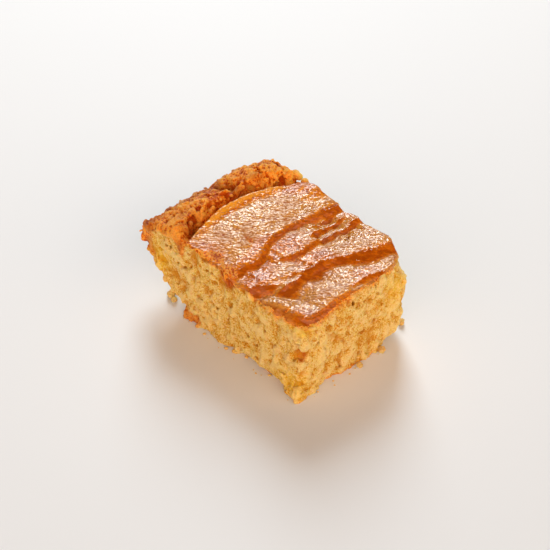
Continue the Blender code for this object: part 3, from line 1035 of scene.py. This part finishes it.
def assignSkin(piece):
    glaze = np.empty(len(piece.data.vertices), np.float32)
    piece.data.attributes["glaze"].data.foreach_get("value", glaze)
    glazed = glaze[faceCorners(piece)].mean(1)
    piece.data.polygons.foreach_set("material_index", (glazed > 0.5).astype(np.int32))


layout = {
    "size": 184.0,  # millimetres across the whole map
    # each side: the axes that run across and up its chart, where the chart starts, its scale
    "charts": {
        "panSide": ((1, 2), (109.5, 54.5), 1.0),
        "end": ((1, 2), (109.5, 1), 1.0),
        "front": ((0, 2), (1, 75), 1.0),
        "back": ((0, 2), (1, 128.5), 1.0),
        "base": ((0, 1), (109.5, 108), 0.65),
        "top": ((0, 1), (1, 1), 1.0),
        "rimSlope": ((1, 2), (109.5, 137), 1.0),  # the rim's slope towards the cut end
    },
    "rimSlopeFrom": (-40, 33.0),  # beyond this x and above this height
    "feel": 1.2,  # a face's side is judged over this far
}


def layOutMap(piece):
    # one chart for each side of the bread, so that the map has few seams
    points = localPoints(piece)
    corners = faceCorners(piece)
    middles = points[corners].mean(1)
    slope = []
    for step in np.eye(3) * layout["feel"]:
        slope.append(sample(smoothField, axes, middles + step) - sample(smoothField, axes, middles - step))
    slope = np.array(slope)
    facing = np.abs(slope).argmax(0)
    side = facing * 2 + (slope[facing, np.arange(len(middles))] > 0)
    slopeX, slopeZ = layout["rimSlopeFrom"]
    charts = list(layout["charts"])
    inner = (side == charts.index("end")) & (middles[:, 0] < slopeX) & (middles[:, 2] > slopeZ)
    side[inner] = charts.index("rimSlope")
    places = np.zeros((*corners.shape, 2), np.float32)
    for number, (across, chart, scale) in enumerate(layout["charts"].values()):
        used = side == number
        across = list(across)
        flat = points[corners[used]][..., across] - np.array(block["low"])[across]
        places[used] = (flat * scale + np.array(chart)) / layout["size"]
    piece.data.uv_layers.new(name="OFBake").uv.foreach_set("vector", places.ravel())


bakedCrumb = crumbMaterial()
bread.data.materials.append(bakedCrumb)
bread.data.materials.append(skinMaterial())
assignSkin(bread)
layOutMap(bread)
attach(bread, "root")
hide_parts("cornbread")
print("bread: finished")


looseCrumbs = {
    "seed": 9,
    "uneven": 0.34,
    # the larger ones: x, y, size across, height, how brown
    "placed": [
        (-83.6, 3.2, 3.9, 3.4, 0), (-80.3, 1.9, 2.8, 2.2, 0), (-3.6, 65.9, 3.1, 2.7, 0.1),
        (2.5, 46.8, 3.3, 2.5, 0.05), (2.6, 33, 2.8, 2, 0), (0.9, 44, 1.8, 1.3, 0.1),
        (-38.5, -0.6, 2.3, 1.6, 0.5), (-33, 1, 1.6, 1.1, 0.5), (-42.6, -1.9, 1.5, 1.1, 0.2),
        (-55.5, -2.7, 1.3, 0.9, 0.1), (-18.5, 0.6, 1.3, 0.9, 0.2),
    ],
    "dust": 18,  # how many tiny ones lie along the front and the cut end
    "dustSize": (0.35, 0.95),
    "dustReach": 2.6,  # how far out they lie
    "frontDust": (-70, 68, -1.4),  # from this x, over this far, and the y where they start
    "endDust": (2, 50, 1.2),  # from this y, over this far, and the x where they start
    "dustBrown": 0.2,
}


def addCrumb(mesh, browned, place, size, height, brown, detail, rng):
    made = bmesh.ops.create_icosphere(mesh, subdivisions=detail, radius=1.0)
    shift = Vector(rng.random(3) * 50)
    turn = Matrix.Rotation(rng.random() * math.tau, 3, "Z")
    long = 0.8 + 0.35 * rng.random()
    for vertex in made["verts"]:
        way = vertex.co.normalized()
        out = 1 + looseCrumbs["uneven"] * lumpNoise.noise(way * 1.3 + shift)
        out += 0.6 * looseCrumbs["uneven"] * lumpNoise.noise(way * 3.1 + shift)
        point = turn @ Vector((way.x * long, way.y / long, way.z)) * out * size / 2
        point.z = max(0.0, point.z * height / size + 0.45 * height)
        vertex.co = cornerPlace + (Vector((*place, 0)) + point) * mm
        # painted shade where the crumb's surface dips in
        browned.append((brown, max(0.0, 1 - out)))


def makeLooseCrumbs():
    rng = np.random.default_rng(looseCrumbs["seed"])
    mesh = bmesh.new()
    browned = []
    for x, y, size, height, brown in looseCrumbs["placed"]:
        addCrumb(mesh, browned, (x, y), size, height, brown, 4, rng)
    small, large = looseCrumbs["dustSize"]
    for n in range(looseCrumbs["dust"]):
        size = small + (large - small) * rng.random() ** 2
        apart = looseCrumbs["dustReach"] * rng.random() ** 1.5
        start, far, near = looseCrumbs["frontDust" if n % 2 else "endDust"]
        along = start + far * rng.random()
        place = (along, near - apart) if n % 2 else (near + apart, along)
        addCrumb(mesh, browned, place, size, size * 0.8, looseCrumbs["dustBrown"] * rng.random(), 2, rng)
    data = bpy.data.meshes.new("looseCrumbs")
    mesh.to_mesh(data)
    mesh.free()
    data.shade_smooth()
    crumbs = newObject("looseCrumbs", data)
    brown, hollow = np.array(browned).T
    # painted shade in their dips and painted highlight all over
    setAttributes(crumbs, browning=brown, hollow=hollow, raised=np.ones_like(hollow))
    data.materials.append(bakedCrumb)
    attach(crumbs, "root")
    print("loose crumbs:", len(data.polygons), "triangles")


makeLooseCrumbs()


studio = {
    "floor": {"Base Color": (0.80, 0.80, 0.80), "Roughness": 0.6, "Specular IOR Level": 0.2},
    "floorSize": 3.0,
    "nearAir": ((1.0, 0.795, 0.645), 2.15),  # colour and strength of the light on the camera's side
    "nearAirTop": (0.60, 0.97),  # it fades out between these heights, the zenith being 1
    "nearAirSide": (-0.2, 0.6),  # and between these towards the sides
    "farAir": ((1.0, 0.80, 0.62), 0.06),  # and of the rest, which the glossy skin mirrors
    "airTurn": -34.0,  # degrees from +X to the brightest side of the air
    "windowFrom": (-0.62, 0.55, 0.55),
    "windowDistance": 3.0,
    "windowSize": (1.04, 1.69),
    "windowPower": 98.0,
    "windowColour": (0.787, 0.913, 1.0),
    "lens": 105.0,
    "sensor": 36.0,
    "cameraPlace": (317.0, -347.0, 467.4),  # from the front right corner, in millimetres
    "cameraTurn": 43.98,  # degrees round from the front
    "cameraDown": 40.45,
    "cameraRoll": 3.04,
}


def makeFloor():
    data = bpy.data.meshes.new("floor")
    half = studio["floorSize"] / 2
    corners = [(-half, -half, 0), (half, -half, 0), (half, half, 0), (-half, half, 0)]
    data.from_pydata(corners, [], [(0, 1, 2, 3)])
    floor = newObject("floor", data)
    floor.location.z = cadLow.z
    made, tree, shader = newMaterial("paleFloor")
    feed(tree, shader, studio["floor"])
    data.materials.append(made)


def between(tree, value, start, end):
    # 0 up to start, 1 from end on, with a soft step between them
    node = newNode(tree, "MapRange", {"Value": value, "From Min": start, "From Max": end})
    node.interpolation_type = "SMOOTHSTEP"
    return node.outputs["Result"]


def makeAir():
    world = bpy.data.worlds.new("studioAir")
    bpy.context.scene.world = world
    world.use_nodes = True
    tree = world.node_tree
    parts = newNode(tree, "SeparateXYZ", {"Vector": turnedPlace(tree, "Generated", studio["airTurn"])})
    near = between(tree, parts.outputs["X"], *studio["nearAirSide"])
    low = maths(tree, "SUBTRACT", 1.0, between(tree, parts.outputs["Z"], *studio["nearAirTop"]))
    airs = (studio["nearAir"], studio["farAir"])
    nearLight, farLight = (tuple(c * strength for c in colour) for colour, strength in airs)
    colour = mixColour(tree, farLight, nearLight, times(tree, near, low))
    feed(tree, tree.nodes["Background"], {"Color": colour})


def makeWindow():
    data = bpy.data.lights.new("window", "AREA")
    data.shape = "RECTANGLE"
    data.size, data.size_y = studio["windowSize"]
    data.energy = studio["windowPower"]
    data.color = studio["windowColour"]
    window = newObject("window", data)
    direction = Vector(studio["windowFrom"]).normalized()
    window.location = direction * studio["windowDistance"]
    window.rotation_euler = direction.to_track_quat("Z", "Y").to_euler()


def makeCamera():
    data = bpy.data.cameras.new("camera")
    data.lens = studio["lens"]
    data.sensor_width = studio["sensor"]
    data.clip_start = 0.01
    camera = newObject("camera", data)
    camera.location = cornerPlace + Vector(studio["cameraPlace"]) * mm
    look = Matrix.Rotation(math.radians(studio["cameraTurn"]), 3, "Z")
    look = look @ Matrix.Rotation(math.radians(90 - studio["cameraDown"]), 3, "X")
    look = look @ Matrix.Rotation(math.radians(studio["cameraRoll"]), 3, "Z")
    camera.rotation_euler = look.to_euler()
    bpy.context.scene.camera = camera


makeFloor()
makeAir()
makeWindow()
makeCamera()
bpy.context.scene.view_settings.view_transform = "Standard"
print("studio: ready")
